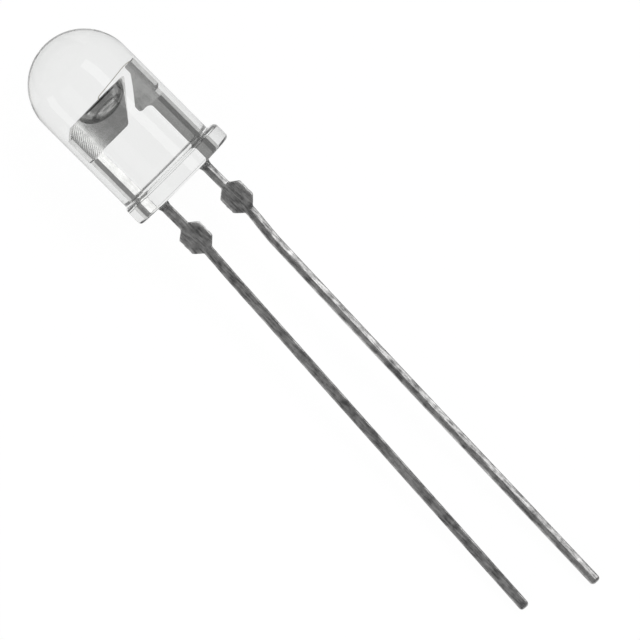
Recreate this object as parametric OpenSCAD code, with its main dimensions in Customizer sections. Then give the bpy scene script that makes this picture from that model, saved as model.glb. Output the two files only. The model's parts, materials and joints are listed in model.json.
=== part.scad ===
// Through-hole light-emitting diode, 5 mm round, water-clear, with its untrimmed leads.
// It lies as it comes to rest: on the flange's rim and the tips of both leads.
// Millimetres. The origin is the centre of the flange's underside, the seating plane.

/* [Lens] */
// Diameter of the round body
body_d = 5; // [4.6:0.1:8]
// Height from the seating plane to the top of the dome
body_h = 8.6; // [8.2:0.1:11]
// Reach of the flange past the body, all round
flange_lip = 0.4; // [0.35:0.01:0.8]
// Thickness of the flange
flange_t = 0.9; // [0.8:0.1:1.6]
// Reach of the flange past the body at the flat that marks the cathode
flat_lip = 0.1; // [0.02:0.01:0.3]
// Rounding of the flange's top edge
flange_top_r = 0.22; // [0.05:0.01:0.25]
// Rounding of the flange's underside edge
flange_low_r = 0.18; // [0.05:0.01:0.2]
// Fillet between the flange and the body
neck_r = 0.08; // [0.02:0.01:0.12]
// Height of the resin that creeps down each lead
creep_h = 0.3; // [0.1:0.05:0.5]
// Thickness of that resin on a lead's sides, at the seating plane
creep_w = 0.13; // [0.06:0.01:0.25]
// Thickness of that resin where it ends
creep_tip_w = 0.03; // [0.01:0.01:0.05]

/* [Lead frame] */
// Distance between the two leads
pitch = 2.54; // [2.4:0.01:2.8]
// Width of a lead
lead_w = 0.46; // [0.4:0.01:0.55]
// Thickness of the metal strip
strip_t = 0.46; // [0.4:0.01:0.55]
// Length of the cathode lead below the seating plane
cathode_len = 24; // [8:0.5:28]
// Length of the anode lead below the seating plane
anode_len = 25.4; // [8.5:0.1:30]
// Outward lean of the cathode lead below its tab, in degrees
cathode_lean = 3.4; // [0:0.1:5]
// Inward lean of the anode lead below its tab, in degrees
anode_lean = 2; // [0:0.1:3]
// Rounding of a lead's cut tip
tip_r = 0.16; // [0.05:0.01:0.2]

/* [Stand-off tabs] */
// Distance from the seating plane to the top of a tab
tab_drop = 1.42; // [1:0.01:2]
// Length of a tab along its lead
tab_h = 1.48; // [1.2:0.01:2]
// Width of a tab across its lead
tab_w = 1.2; // [0.9:0.01:1.5]
// Length of a tab's upper slope
tab_top_slope = 0.3; // [0.1:0.01:0.5]
// Length of a tab's lower slope
tab_low_slope = 0.36; // [0.1:0.01:0.5]

/* [Anvil and post] */
// Height of the anvil's top above the seating plane
anvil_z = 5.22; // [4.8:0.01:5.6]
// Height of the anvil from its top to its underside
anvil_h = 1.7; // [1.3:0.01:2]
// Reach of the anvil's top past the axis
anvil_reach = 0.98; // [0.92:0.01:1.05]
// Reach of the anvil's underside past the axis
anvil_foot = 0.1; // [0:0.01:0.4]
// Overhang of the anvil outside its lead
anvil_over = 0.05; // [0:0.01:0.15]
// Chamfer of the anvil's outer shoulder
anvil_chamfer = 0.42; // [0.2:0.01:0.55]
// Rounding of the anvil's lower tip, beside the post
anvil_tip_r = 0.15; // [0.05:0.01:0.2]
// Fillet between the anvil and its lead
anvil_fillet = 0.12; // [0.05:0.01:0.3]
// Height of the post's top above the anvil's top
post_rise = 0.22; // [0.1:0.01:0.4]
// Gap between the anvil and the post, across their slanted edges
gap = 0.36; // [0.25:0.01:0.45]
// Overhang of the post outside its lead
post_over = 0.19; // [0.05:0.01:0.25]
// Height of the slope under the post's outer overhang
post_step = 0.12; // [0.05:0.01:0.3]
// Height of the post's nose, which points to the axis under the anvil
nose_h = 0.34; // [0.2:0.01:0.5]
// Reach of the nose past a line that keeps the gap even all the way down
nose_reach = 0.07; // [0:0.01:0.1]
// Rounding of the nose
nose_r = 0.12; // [0.05:0.01:0.2]
// Distance from the anvil's top down to the knee where the post's head goes straight up
knee_drop = 0.17; // [0.05:0.01:0.4]
// Rounding of the knee
knee_r = 0.2; // [0.05:0.01:0.4]
// Fillet between the post and its lead
post_fillet = 0.24; // [0.05:0.01:0.3]
// Rounding of the other corners of the stamping
stamp_r = 0.06; // [0.02:0.01:0.1]

/* [Reflector cup] */
// Outer radius of the bowl that the cup is pressed into
bowl_r = 0.88; // [0.8:0.01:0.9]
// Radius of the cup at its rim
cup_r = 0.64; // [0.5:0.01:0.7]
// Radius of the cup's floor
floor_r = 0.38; // [0.3:0.01:0.45]
// Depth of the cup
cup_depth = 0.42; // [0.3:0.01:0.5]

/* [Chip and wire] */
// Side of the chip
chip_w = 0.3; // [0.2:0.01:0.36]
// Height of the chip
chip_h = 0.18; // [0.1:0.01:0.25]
// Thickness of the paste under the chip
paste_t = 0.02; // [0.01:0.005:0.04]
// Height of the paste's collar round the chip
collar_h = 0.07; // [0.05:0.01:0.09]
// Width of the collar past the chip's corners, on the cup's floor
collar_w = 0.07; // [0.03:0.01:0.08]
// Width of the collar past the chip's corners, at its top
collar_lip = 0.015; // [0.01:0.005:0.03]
// Diameter of the bond wire
wire_d = 0.03; // [0.025:0.001:0.04]
// Diameter of the squashed ball that bonds the wire to the chip
ball_d = 0.1; // [0.08:0.01:0.12]
// Height of that ball
ball_h = 0.03; // [0.02:0.005:0.04]
// Diameter of the stitch that bonds the wire to the post
stitch_d = 0.11; // [0.08:0.01:0.14]
// Thickness of the stitch
stitch_t = 0.018; // [0.014:0.001:0.022]
// Bend radius of the wire above the chip
loop_r = 0.12; // [0.08:0.01:0.2]
// Angle at which the wire climbs from that bend to the post
loop_slope = 8; // [4:1:12]
// Bend radius of the wire where it comes down on the post
landing_r = 1; // [0.6:0.05:1.2]
// Angle at which the wire comes down on the post
landing_angle = 14; // [10:1:20]

/* [Hidden] */
$fn = 96;

cut = 1; // spare length of a cutting tool past the face that it cuts
corner_steps = 5; // edges in a rounded corner of an outline
wire_sides = 8; // sides of the bond wire's section
bend_steps = 6; // rings in each bend of the bond wire
flat_top_share = 0.8; // part of the ledge at the flat that its top rounding takes

body_r = body_d / 2;
flange_r = body_r + flange_lip;
flat_x = body_r + flat_lip;
flat_top_r = min(flange_top_r, flat_top_share * flat_lip);

lead_x = pitch / 2;
half_w = lead_w / 2;
half_t = strip_t / 2;
tab_top_z = -tab_drop;
tab_low_z = -tab_drop - tab_h;

anvil_low_z = anvil_z - anvil_h;
anvil_out_x = -lead_x - half_w - anvil_over;

// The post's slanted edge runs beside the anvil's, the gap away from it.
slant = atan((anvil_reach - anvil_foot) / anvil_h);
function post_in_x(z) = anvil_foot + (z - anvil_low_z) * tan(slant) + gap / cos(slant);
post_z = anvil_z + post_rise;
post_out_x = lead_x + half_w + post_over;
nose_z = anvil_low_z + nose_h;
nose_x = post_in_x(nose_z) - nose_reach;
knee_z = anvil_z - knee_drop;

cup_floor_z = anvil_z - cup_depth;
chip_z = cup_floor_z + paste_t;
chip_top_z = chip_z + chip_h;
chip_corner = chip_w / sqrt(2);

// The wire rises from the chip, climbs on over the cup's rim and comes down to lie on the
// post. Both of its bends are arcs, and the straight run between them touches both.
wire_r = wire_d / 2;
stitch_x = (post_in_x(knee_z) + post_out_x) / 2;
landing_x = stitch_x - landing_r * sin(landing_angle);
landing_z = post_z + wire_r - landing_r * cos(landing_angle);
run_end = [landing_x - landing_r * sin(loop_slope), landing_z + landing_r * cos(loop_slope)];
run_start_x = loop_r * (1 - sin(loop_slope));
run_start_z = run_end[1] - (run_end[0] - run_start_x) * tan(loop_slope);
rise_z = run_start_z - loop_r * cos(loop_slope);

// Each lead's length from its tab down, and the middle of its cut tip.
function tail(length) = length - tab_drop - tab_h;
function tip(x, length, lean) =
    [x - tail(length) * sin(lean), tab_low_z - tail(length) * cos(lean)];
cathode_tip = tip(-lead_x, cathode_len, cathode_lean);
anode_tip = tip(lead_x, anode_len, anode_lean);

// The rest pose: the floor touches the flange's rim and the lower edge of each tip.
roll_share = (cathode_tip[1] - anode_tip[1]) / (anode_tip[0] - cathode_tip[0]);
function floor_slope(h) = (h - half_t) / (anode_tip[1] + roll_share * anode_tip[0]);
function rim_height(slope) = (flange_r - flange_low_r) * sqrt(1 + pow(roll_share * slope, 2))
    + flange_low_r * (slope + sqrt(1 + slope * slope + pow(roll_share * slope, 2)));
function settle(h, rounds) = rounds < 1 ? h : settle(rim_height(floor_slope(h)), rounds - 1);
settle_rounds = 6;
pitch_slope = floor_slope(settle(flange_r, settle_rounds));
rest_roll = atan(roll_share * pitch_slope);
rest_pitch = atan(pitch_slope / sqrt(1 + pow(roll_share * pitch_slope, 2)));

// One corner of an outline as an arc, no larger than half of each edge beside it allows.
function arc_corner(p, a, b, radius) =
    let (u = (a - p) / norm(a - p),
         v = (b - p) / norm(b - p),
         half = acos(u * v) / 2,
         r = min(radius, tan(half) * min(norm(a - p), norm(b - p)) / 2),
         centre = p + (u + v) / norm(u + v) * r / sin(half),
         from = p + u * r / tan(half) - centre,
         to = p + v * r / tan(half) - centre,
         sweep = 180 - 2 * half)
    [for (i = [0 : corner_steps])
        centre + (sin(sweep * (1 - i / corner_steps)) * from
                  + sin(sweep * i / corner_steps) * to) / sin(sweep)];

// A closed outline from corners that are each [x, z, radius], convex or concave.
function rounded(corners) =
    [for (i = [0 : len(corners) - 1])
        let (n = len(corners),
             at = function (k) [corners[k % n][0], corners[k % n][1]],
             radius = corners[i][2])
        each (radius == 0 ? [at(i)] : arc_corner(at(i), at(i + n - 1), at(i + 1), radius))];

// Corners down one side of a lead's tab: side is 1 on the right and -1 on the left.
function tab_side(x, side) = [
    [x + side * half_w, tab_top_z, stamp_r],
    [x + side * tab_w / 2, tab_top_z - tab_top_slope, stamp_r],
    [x + side * tab_w / 2, tab_low_z + tab_low_slope, stamp_r],
    [x + side * half_w, tab_low_z, stamp_r]
];

function reversed(list) = [for (i = [len(list) - 1 : -1 : 0]) list[i]];

// Corners of a whole lead below its head, down its right side and up its left.
function lead_corners(x, length, lean) =
    let (end = tip(x, length, lean),
         across = half_w * [cos(lean), -sin(lean)])
    concat(
        tab_side(x, 1),
        [[end[0] + across[0], end[1] + across[1], tip_r],
         [end[0] - across[0], end[1] - across[1], tip_r]],
        reversed(tab_side(x, -1)));

// Stands the upright part down on its side, as it comes to rest.
module resting() {
    rotate([0, rest_pitch, 0])
        rotate([rest_roll, 0, 0])
            rotate([-90, 0, 0])
                rotate([0, 90, 0])
                    children();
}

// Cuts an outline, drawn across and up the part, from strip.
module stamped(corners) {
    rotate([90, 0, 0])
        linear_extrude(height = strip_t, center = true)
            polygon(rounded(corners));
}

// Half of the moulding's section: dome, body, fillet and flange.
module moulding_section() {
    square([body_r, body_h - body_r]);
    translate([0, body_h - body_r])
        intersection() {
            circle(body_r);
            square(body_r);
        }
    difference() {
        translate([0, flange_t])
            square([body_r + neck_r, neck_r]);
        translate([body_r + neck_r, flange_t + neck_r])
            circle(neck_r);
    }
    square([flange_r - flange_top_r, flange_t]);
    translate([0, flange_low_r])
        square([flange_r, flange_t - flange_low_r - flange_top_r]);
    square([flange_r - flange_low_r, flange_t / 2]);
    translate([flange_r - flange_low_r, flange_low_r])
        circle(flange_low_r);
    translate([flange_r - flange_top_r, flange_t - flange_top_r])
        circle(flange_top_r);
}

// What a rounding takes off a corner at the origin, with a spare length below it.
module rounding_waste(r, spare) {
    difference() {
        translate([0, -spare])
            square([r, spare + r]);
        translate([r, r])
            circle(r);
    }
}

// What the flat takes off the flange, with its own edges rounded too.
module flat_cut() {
    rotate([90, 0, 0])
        linear_extrude(height = 2 * body_d, center = true) {
            translate([-flat_x - body_d, -cut])
                square([body_d, cut + flange_t + neck_r]);
            translate([-flat_x, 0])
                rounding_waste(flange_low_r, cut);
            translate([-flat_x, flange_t])
                mirror([0, 1])
                    rounding_waste(flat_top_r, neck_r);
        }
}

// Resin that has crept down a lead from the seating plane.
module creep(x) {
    sliver = 0.001;
    module collar(z, w)
        translate([x - half_w - w, -half_t - w, z])
            cube([lead_w + 2 * w, strip_t + 2 * w, sliver]);
    hull() {
        collar(-sliver, creep_w);
        collar(-creep_h / 3, (creep_w + 3 * creep_tip_w) / 4);
        collar(-creep_h, creep_tip_w);
    }
}

// The bowl that bulges out of the strip where the cup was pressed in.
module bowl() {
    translate([0, 0, anvil_z])
        intersection() {
            sphere(bowl_r);
            translate([0, 0, -bowl_r])
                cylinder(h = bowl_r, r = bowl_r + cut);
        }
}

module cup_bore() {
    flare = (cup_r - floor_r) / cup_depth;
    translate([0, 0, cup_floor_z])
        cylinder(h = cup_depth + cut, r1 = floor_r, r2 = cup_r + flare * cut);
}

module cathode_shape() {
    difference() {
        union() {
            stamped(concat(
                [[anvil_out_x, anvil_low_z, stamp_r],
                 [anvil_out_x, anvil_z - anvil_chamfer, stamp_r],
                 [anvil_out_x + anvil_chamfer, anvil_z, stamp_r],
                 [anvil_reach, anvil_z, stamp_r],
                 [anvil_foot, anvil_low_z, anvil_tip_r],
                 [-lead_x + half_w, anvil_low_z, anvil_fillet]],
                lead_corners(-lead_x, cathode_len, cathode_lean),
                [[-lead_x - half_w, anvil_low_z - anvil_over, stamp_r]]));
            bowl();
        }
        cup_bore();
    }
}

module anode_shape() {
    stamped(concat(
        [[post_out_x, nose_z, stamp_r],
         [lead_x + half_w, nose_z - post_step, stamp_r]],
        lead_corners(lead_x, anode_len, anode_lean),
        [[lead_x - half_w, anvil_low_z, post_fillet],
         [nose_x, anvil_low_z, nose_r],
         [nose_x, nose_z, nose_r],
         [post_in_x(knee_z), knee_z, knee_r],
         [post_in_x(knee_z), post_z, stamp_r],
         [post_out_x, post_z, stamp_r]]));
}

module chip_shape() {
    translate([-chip_w / 2, -chip_w / 2, chip_z])
        cube([chip_w, chip_w, chip_h]);
}

// The paste under the chip, with a collar that climbs its sides.
module paste_shape() {
    difference() {
        translate([0, 0, cup_floor_z])
            cylinder(h = collar_h, r1 = chip_corner + collar_w, r2 = chip_corner + collar_lip);
        chip_shape();
    }
}

// The wire's centre line as rings, each [x, z, heading above level].
wire_rings = concat(
    [[0, chip_top_z + ball_h / 2, 90]],
    [for (i = [0 : bend_steps])
        let (a = 180 - (90 - loop_slope) * i / bend_steps)
        [loop_r + loop_r * cos(a), rise_z + loop_r * sin(a), a - 90]],
    [for (i = [0 : bend_steps])
        let (a = 90 + loop_slope - (loop_slope + landing_angle) * i / bend_steps)
        [landing_x + landing_r * cos(a), landing_z + landing_r * sin(a), a - 90]]);

module wire_sweep() {
    last = len(wire_rings) - 1;
    function corner(ring, side) = (ring * wire_sides) + (side % wire_sides);
    polyhedron(
        points = [for (ring = wire_rings, j = [0 : wire_sides - 1])
            let (t = 360 * (j + 0.5) / wire_sides)
            [ring[0] - wire_r * sin(t) * sin(ring[2]),
             wire_r * cos(t),
             ring[1] + wire_r * sin(t) * cos(ring[2])]],
        faces = concat(
            [[for (j = [0 : wire_sides - 1]) corner(0, j)]],
            [[for (j = [wire_sides - 1 : -1 : 0]) corner(last, j)]],
            [for (i = [0 : last - 1], j = [0 : wire_sides - 1])
                [corner(i, j), corner(i + 1, j), corner(i + 1, j + 1), corner(i, j + 1)]]));
}

module wire_shape() {
    translate([0, 0, chip_top_z])
        cylinder(h = ball_h, d = ball_d);
    wire_sweep();
    translate([stitch_x, 0, post_z])
        cylinder(h = stitch_t, d = stitch_d);
}

// Clear resin, moulded in one shot round the metal, the chip and the wire.
module lens() {
    color("aliceblue", 0.35)
        resting()
            difference() {
                union() {
                    rotate_extrude()
                        moulding_section();
                    creep(-lead_x);
                    creep(lead_x);
                }
                flat_cut();
                cathode_shape();
                anode_shape();
                chip_shape();
                paste_shape();
                wire_shape();
            }
}

module cathode_lead() {
    color("silver")
        resting()
            cathode_shape();
}

module anode_lead() {
    color("silver")
        resting()
            anode_shape();
}

module chip() {
    color("slategray")
        resting()
            chip_shape();
}

module chip_paste() {
    color("gainsboro")
        resting()
            paste_shape();
}

module bond_wire() {
    color("gold")
        resting()
            wire_shape();
}

lens();
cathode_lead();
anode_lead();
chip();
chip_paste();
bond_wire();
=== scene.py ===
import json
import math

import bmesh
import bpy
import numpy as np
from mathutils import Matrix, Vector, noise
from mathutils.geometry import delaunay_2d_cdt


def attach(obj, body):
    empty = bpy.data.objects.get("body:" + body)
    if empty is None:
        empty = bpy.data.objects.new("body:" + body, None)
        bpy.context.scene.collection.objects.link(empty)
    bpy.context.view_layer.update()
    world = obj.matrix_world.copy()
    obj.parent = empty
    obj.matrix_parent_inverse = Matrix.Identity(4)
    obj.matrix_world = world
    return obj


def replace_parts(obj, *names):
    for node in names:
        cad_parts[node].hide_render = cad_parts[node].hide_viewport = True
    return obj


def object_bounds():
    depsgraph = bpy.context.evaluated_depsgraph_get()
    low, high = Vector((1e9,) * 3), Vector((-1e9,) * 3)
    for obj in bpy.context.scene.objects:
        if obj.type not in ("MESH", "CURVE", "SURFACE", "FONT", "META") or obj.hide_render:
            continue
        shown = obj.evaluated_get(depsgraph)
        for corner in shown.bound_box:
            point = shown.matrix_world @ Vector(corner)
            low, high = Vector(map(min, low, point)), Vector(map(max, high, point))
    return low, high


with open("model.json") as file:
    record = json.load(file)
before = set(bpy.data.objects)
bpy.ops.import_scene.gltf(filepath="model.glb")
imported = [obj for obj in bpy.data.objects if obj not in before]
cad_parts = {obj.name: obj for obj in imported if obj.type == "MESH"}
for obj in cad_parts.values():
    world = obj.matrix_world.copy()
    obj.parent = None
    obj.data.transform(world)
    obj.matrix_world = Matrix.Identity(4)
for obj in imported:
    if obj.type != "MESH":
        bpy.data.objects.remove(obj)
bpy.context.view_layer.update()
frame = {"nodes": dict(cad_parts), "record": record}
print("frame loaded:", ", ".join(sorted(frame["nodes"])))

# The part is drawn upright, in millimetres: x runs from the cathode to the anode, z up the
# optical axis, and the front faces -y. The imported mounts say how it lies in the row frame.
mounts = {m["name"]: m for m in frame["record"]["mounts"]}
seat = Vector(mounts["board_seat"]["pos_m"])
domeWay = Vector(mounts["barrel"]["axis"]).normalized()
anodeWay = (Vector(mounts["anode_terminal"]["pos_m"])
            - Vector(mounts["cathode_terminal"]["pos_m"]))
anodeWay = (anodeWay - domeWay * anodeWay.dot(domeWay)).normalized()
backWay = domeWay.cross(anodeWay)
turn = Matrix((anodeWay, backWay, domeWay)).transposed().to_4x4()
partToRow = Matrix.Translation(seat) @ turn @ Matrix.Scale(0.001, 4)


# Mesh tools

def newMesh(name, points, faces):
    mesh = bpy.data.meshes.new(name)
    mesh.from_pydata([tuple(map(float, p)) for p in points], [], faces)
    mesh.update()
    return mesh


def arc(cx, cz, r, start, end, steps):
    angles = np.radians(np.linspace(start, end, steps + 1))
    return [(cx + r * math.cos(a), cz + r * math.sin(a)) for a in angles]


def lathe(profile, turns, shift=0.0):
    # one ring of points for each (radius, z) of the profile
    angles = [2 * math.pi * (t + shift) / turns for t in range(turns)]
    return [[(r * math.cos(a), r * math.sin(a), z) for a in angles] for r, z in profile]


def skin(rings, closeStart=True, closeEnd=True):
    # joins equal rings with quads, and closes each end with a fan
    count = len(rings[0])
    points = [p for ring in rings for p in ring]
    faces = []
    for i in range(len(rings) - 1):
        for j in range(count):
            a, b = i * count + j, i * count + (j + 1) % count
            faces.append((a, b, b + count, a + count))
    for wanted, ring, start in ((closeStart, rings[0], 0),
                                (closeEnd, rings[-1], (len(rings) - 1) * count)):
        if wanted:
            points.append(np.mean(np.array(ring), axis=0))
            middle = len(points) - 1
            faces += [(start + j, middle, start + (j + 1) % count) for j in range(count)]
    return points, faces


def tidyMesh(mesh, gap=1e-5):
    bm = bmesh.new()
    bm.from_mesh(mesh)
    bmesh.ops.remove_doubles(bm, verts=bm.verts, dist=gap)
    bmesh.ops.dissolve_degenerate(bm, edges=bm.edges, dist=gap)
    bmesh.ops.recalc_face_normals(bm, faces=bm.faces)
    openEdges = sum(1 for e in bm.edges if not e.is_manifold)
    bm.to_mesh(mesh)
    bm.free()
    if openEdges:
        print("open edges in", mesh.name, openEdges)
    return mesh


def roundedOutline(corners, steps=6):
    # corners are (x, z, radius), convex or concave; a radius is limited by its edges
    points = []
    count = len(corners)
    for i, (x, z, radius) in enumerate(corners):
        p = Vector((x, z))
        if radius == 0:
            points.append(p)
            continue
        before, after = corners[i - 1], corners[(i + 1) % count]
        u = Vector(before[:2]) - p
        v = Vector(after[:2]) - p
        half = u.angle(v) / 2
        r = min(radius, math.tan(half) * min(u.length, v.length) / 2)
        u.normalize()
        v.normalize()
        centre = p + (u + v).normalized() * r / math.sin(half)
        start = p + u * r / math.tan(half) - centre
        end = p + v * r / math.tan(half) - centre
        sweep = math.pi - 2 * half
        for k in range(steps + 1):
            share = k / steps
            points.append(centre + (math.sin(sweep * (1 - share)) * start
                                    + math.sin(sweep * share) * end) / math.sin(sweep))
    return points


def plateMesh(name, corners, thick, edge):
    # a stamped plate: the outline cut from strip, its rims slightly rolled over
    outline = roundedOutline(corners)
    bm = bmesh.new()
    front = [bm.verts.new((p.x, -thick / 2, p.y)) for p in outline]
    face = bm.faces.new(front)
    grown = bmesh.ops.extrude_face_region(bm, geom=[face])
    moved = [g for g in grown["geom"] if isinstance(g, bmesh.types.BMVert)]
    bmesh.ops.translate(bm, verts=moved, vec=(0, thick, 0))
    bmesh.ops.recalc_face_normals(bm, faces=bm.faces)
    rims = [e for e in bm.edges
            if abs(abs(e.verts[0].co.y) - thick / 2) < 1e-6
            and abs(e.verts[0].co.y - e.verts[1].co.y) < 1e-6]
    bmesh.ops.bevel(bm, geom=rims, offset=edge, segments=3, profile=0.6,
                    affect="EDGES", clamp_overlap=True)
    mesh = bpy.data.meshes.new(name)
    bm.to_mesh(mesh)
    bm.free()
    return mesh


def addObject(name, data):
    made = bpy.data.objects.new(name, data)
    bpy.context.scene.collection.objects.link(made)
    return made


def combine(name, base, parts):
    # boolean joins and cuts of closed meshes
    draft = addObject(name + "Draft", base)
    helpers = []
    for mesh, how in parts:
        helper = addObject(name + "Helper", mesh)
        cutter = draft.modifiers.new("combine", "BOOLEAN")
        cutter.operation = how
        cutter.solver = "EXACT"
        cutter.object = helper
        helpers.append(helper)
    bpy.context.view_layer.update()
    graph = bpy.context.evaluated_depsgraph_get()
    result = bpy.data.meshes.new_from_object(draft.evaluated_get(graph), depsgraph=graph)
    for o in [draft, *helpers]:
        bpy.data.objects.remove(o)
    return tidyMesh(result)


def finishPiece(name, mesh, materials, sharpAngle=40, materialOf=None):
    # keeps each point's upright place for the materials, then lays the mesh in the row frame
    mesh.name = name
    places = np.empty(len(mesh.vertices) * 3, np.float32)
    mesh.vertices.foreach_get("co", places)
    upright = mesh.attributes.new("partSpace", "FLOAT_VECTOR", "POINT")
    upright.data.foreach_set("vector", places)
    mesh.materials.clear()
    for material in materials:
        mesh.materials.append(material)
    if materialOf:
        for face in mesh.polygons:
            face.material_index = materialOf(face.center)
    mesh.shade_smooth()
    mesh.set_sharp_from_angle(angle=math.radians(sharpAngle))
    mesh.transform(partToRow)
    piece = addObject(name, mesh)
    # wide faces keep flat normals beside their narrow rounded rims, so they mirror truly
    piece.modifiers.new("wideFaces", "WEIGHTED_NORMAL").keep_sharp = True
    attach(piece, "root")
    return piece


# Shader tools

def addNode(tree, kind, **inputs):
    node = tree.nodes.new(kind)
    for name, value in inputs.items():
        node.inputs[name.replace("_", " ")].default_value = value
    return node


def feed(tree, socket, value):
    # value is a plain value, or another node's output
    if isinstance(value, bpy.types.NodeSocket):
        tree.links.new(value, socket)
    else:
        socket.default_value = value


def mathNode(tree, operation, a, b=None, c=None):
    # a, b and c are numbers or sockets
    node = tree.nodes.new("ShaderNodeMath")
    node.operation = operation
    for socket, value in zip(node.inputs, (a, b, c)):
        if value is not None:
            feed(tree, socket, value)
    return node.outputs[0]


def rangeNode(tree, value, fromMin, fromMax, toMin, toMax):
    node = addNode(tree, "ShaderNodeMapRange", From_Min=fromMin, From_Max=fromMax,
                   To_Min=toMin, To_Max=toMax)
    tree.links.new(value, node.inputs["Value"])
    return node.outputs["Result"]


def noiseNode(tree, vector, scale, detail=3.0, roughness=0.5):
    # scale is a number or a socket
    node = addNode(tree, "ShaderNodeTexNoise", Detail=detail, Roughness=roughness)
    tree.links.new(vector, node.inputs["Vector"])
    feed(tree, node.inputs["Scale"], scale)
    return node.outputs["Fac"]


def colourMix(tree, factor, first, second):
    # first and second are (red, green, blue) or sockets
    node = tree.nodes.new("ShaderNodeMix")
    node.data_type = "RGBA"
    for label, colour in (("A", first), ("B", second)):
        feed(tree, node.inputs[label], (*colour, 1) if isinstance(colour, tuple) else colour)
    tree.links.new(factor, node.inputs["Factor"])
    return node.outputs["Result"]


def newGroup(name, inputs, outputs):
    group = bpy.data.node_groups.new(name, "ShaderNodeTree")
    for label, kind, value in inputs:
        socket = group.interface.new_socket(name=label, in_out="INPUT", socket_type=kind)
        if value is not None:
            socket.default_value = value
    for label, kind in outputs:
        group.interface.new_socket(name=label, in_out="OUTPUT", socket_type=kind)
    return group, group.nodes.new("NodeGroupInput"), group.nodes.new("NodeGroupOutput")


# Surface effects that more than one material uses; a noise texture hardly leaves noiseBand

surfaceLook = {"streakSquash": 0.14, "cloudDetail": 4.0, "cloudRough": 0.6, "fineDetail": 2.0,
               "grainHeight": 0.25, "bareCells": 0.55}
noiseBand = (0.3, 0.7)


def makeSkinGroup():
    # the skin of a plated or dipped metal: cloudy tone, drawn streaks along z and fine grain
    group, gin, gout = newGroup(
        "metalSkin",
        [("Place", "NodeSocketVector", None),
         ("Cloud Scale", "NodeSocketFloat", 2.0),
         ("Streak Scale", "NodeSocketFloat", 18.0),
         ("Grain Scale", "NodeSocketFloat", 60.0),
         ("Cloud Share", "NodeSocketFloat", 0.7),
         ("Streak Share", "NodeSocketFloat", 0.5)],
        [("Tone", "NodeSocketFloat"), ("Grain", "NodeSocketFloat"),
         ("Height", "NodeSocketFloat")])
    place = gin.outputs["Place"]
    stretch = addNode(group, "ShaderNodeMapping", Scale=(1.0, 1.0, surfaceLook["streakSquash"]))
    group.links.new(place, stretch.inputs["Vector"])
    clouds = noiseNode(group, place, gin.outputs["Cloud Scale"], surfaceLook["cloudDetail"],
                       surfaceLook["cloudRough"])
    streaks = noiseNode(group, stretch.outputs["Vector"], gin.outputs["Streak Scale"],
                        surfaceLook["fineDetail"])
    grain = noiseNode(group, place, gin.outputs["Grain Scale"], surfaceLook["fineDetail"])
    lined = mathNode(group, "MULTIPLY", streaks, gin.outputs["Streak Share"])
    tone = mathNode(group, "MULTIPLY_ADD", clouds, gin.outputs["Cloud Share"], lined)
    fine = mathNode(group, "MULTIPLY", grain, surfaceLook["grainHeight"])
    height = mathNode(group, "ADD", fine, mathNode(group, "ADD", lined, clouds))
    group.links.new(tone, gout.inputs["Tone"])
    group.links.new(grain, gout.inputs["Grain"])
    group.links.new(height, gout.inputs["Height"])
    return group


def makeSpeckGroup():
    # sparse small specks, such as dust and pits
    group, gin, gout = newGroup(
        "specks",
        [("Place", "NodeSocketVector", None),
         ("Scale", "NodeSocketFloat", 8.0),
         ("Size", "NodeSocketFloat", 0.1)],
        [("Mask", "NodeSocketFloat")])
    cells = addNode(group, "ShaderNodeTexVoronoi")
    group.links.new(gin.outputs["Place"], cells.inputs["Vector"])
    group.links.new(gin.outputs["Scale"], cells.inputs["Scale"])
    chance = group.nodes.new("ShaderNodeSeparateColor")
    group.links.new(cells.outputs["Color"], chance.inputs["Color"])
    size = mathNode(group, "MULTIPLY", gin.outputs["Size"], chance.outputs["Red"])
    near = mathNode(group, "LESS_THAN", cells.outputs["Distance"], size)
    few = mathNode(group, "GREATER_THAN", chance.outputs["Green"], surfaceLook["bareCells"])
    group.links.new(mathNode(group, "MULTIPLY", near, few), gout.inputs["Mask"])
    return group


skinGroup = makeSkinGroup()
speckGroup = makeSpeckGroup()


def startMaterial(name):
    material = bpy.data.materials.new(name)
    material.use_nodes = True
    tree = material.node_tree
    shader = tree.nodes["Principled BSDF"]
    place = tree.nodes.new("ShaderNodeAttribute")
    place.attribute_name = "partSpace"
    return material, tree, shader, place.outputs["Vector"]


def useGroup(tree, group, place, **values):
    node = tree.nodes.new("ShaderNodeGroup")
    node.node_tree = group
    tree.links.new(place, node.inputs["Place"])
    for name, value in values.items():
        node.inputs[name.replace("_", " ")].default_value = value
    return node


def bumpTo(tree, shader, height, strength, distance):
    bump = addNode(tree, "ShaderNodeBump", Strength=strength, Distance=distance)
    tree.links.new(height, bump.inputs["Height"])
    tree.links.new(bump.outputs["Normal"], shader.inputs["Normal"])


# Lens

lens = {
    "bodyR": 2.5, "height": 8.6, "flangeR": 2.9, "flangeT": 0.9, "flatX": 2.6,
    "topRound": 0.22, "lowRound": 0.18, "flatTopRound": 0.08, "neckR": 0.08, "edgeSoft": 0.03,
    "padR": 2.25, "turns": 320, "holeCorner": 0.08,
    "creepH": 0.3, "creepReach": 0.16, "creepCurve": 2.2,
    "creepRings": (-0.06, 0.0, 0.012, 0.03, 0.055, 0.085, 0.12, 0.16, 0.2),
    "clear": (0.985, 0.99, 0.99), "aged": (0.965, 0.97, 0.96), "ior": 1.56, "cloudScale": 0.7,
    "speckScale": 5.0, "speckSize": 0.03, "speckRough": 0.25, "speckHeight": 0.4,
    "wearScale": 3.0, "wearDetail": 5.0, "wearGrit": 0.65, "wearFrom": 0.55, "wearTo": 0.8,
    "wearRough": 0.05, "waveScale": 1.1, "bump": 0.1, "bumpHeight": 0.00002,
}
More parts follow.
